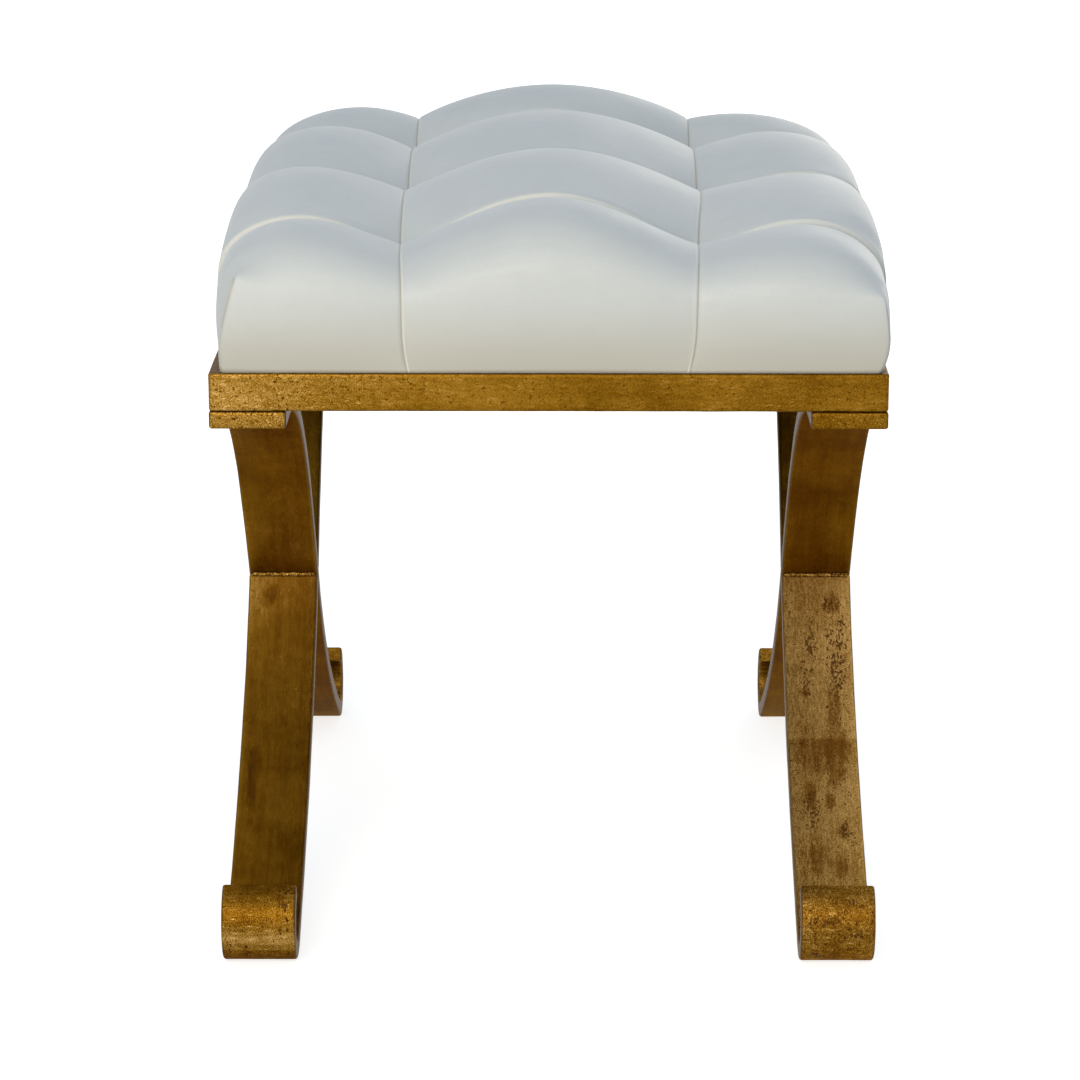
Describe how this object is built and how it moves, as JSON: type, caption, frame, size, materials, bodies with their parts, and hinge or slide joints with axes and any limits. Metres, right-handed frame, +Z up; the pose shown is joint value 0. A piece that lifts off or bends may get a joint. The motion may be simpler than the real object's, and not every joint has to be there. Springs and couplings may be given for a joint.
{
  "type": "x frame stool",
  "caption": "Bench stool with a tufted seat cushion on a rectangular bar frame, carried at each long side by an X frame of flat bar with scroll feet.",
  "frame": {"origin": "on the floor, under the middle of the stool", "axes": "+X across the stool's short width, towards its right as seen from the front end; +Y along its length, from the front end to the back; +Z up"},
  "size_m": [0.457, 0.61, 0.5426],
  "materials": {
    "gilt_iron": "satin",
    "black_iron": "matte",
    "zinc": "satin",
    "plywood": "matte",
    "foam": "matte",
    "dust_cloth": "matte",
    "ivory_satin": "satin"
  },
  "bodies": {
    "root": {"front_rail": "gilt_iron", "back_rail": "gilt_iron", "left_rail": "gilt_iron", "right_rail": "gilt_iron", "left_long_bar": "gilt_iron", "left_back_arm": "gilt_iron", "left_front_leg": "gilt_iron", "left_cross_weld_front": "gilt_iron", "left_cross_weld_back": "gilt_iron", "left_cross_weld_top": "gilt_iron", "left_cross_weld_bottom": "gilt_iron", "left_front_tab_weld": "gilt_iron", "left_front_corner_plate": "black_iron", "left_front_seat_screw": "zinc", "left_back_tab_weld": "gilt_iron", "left_back_corner_plate": "black_iron", "left_back_seat_screw": "zinc", "right_long_bar": "gilt_iron", "right_back_arm": "gilt_iron", "right_front_leg": "gilt_iron", "right_cross_weld_front": "gilt_iron", "right_cross_weld_back": "gilt_iron", "right_cross_weld_top": "gilt_iron", "right_cross_weld_bottom": "gilt_iron", "right_front_tab_weld": "gilt_iron", "right_front_corner_plate": "black_iron", "right_front_seat_screw": "zinc", "right_back_tab_weld": "gilt_iron", "right_back_corner_plate": "black_iron", "right_back_seat_screw": "zinc", "seat_board": "plywood", "foam_core": "foam", "dust_cover": "dust_cloth", "tufted_cushion": "ivory_satin"}
  },
  "joints": []
}
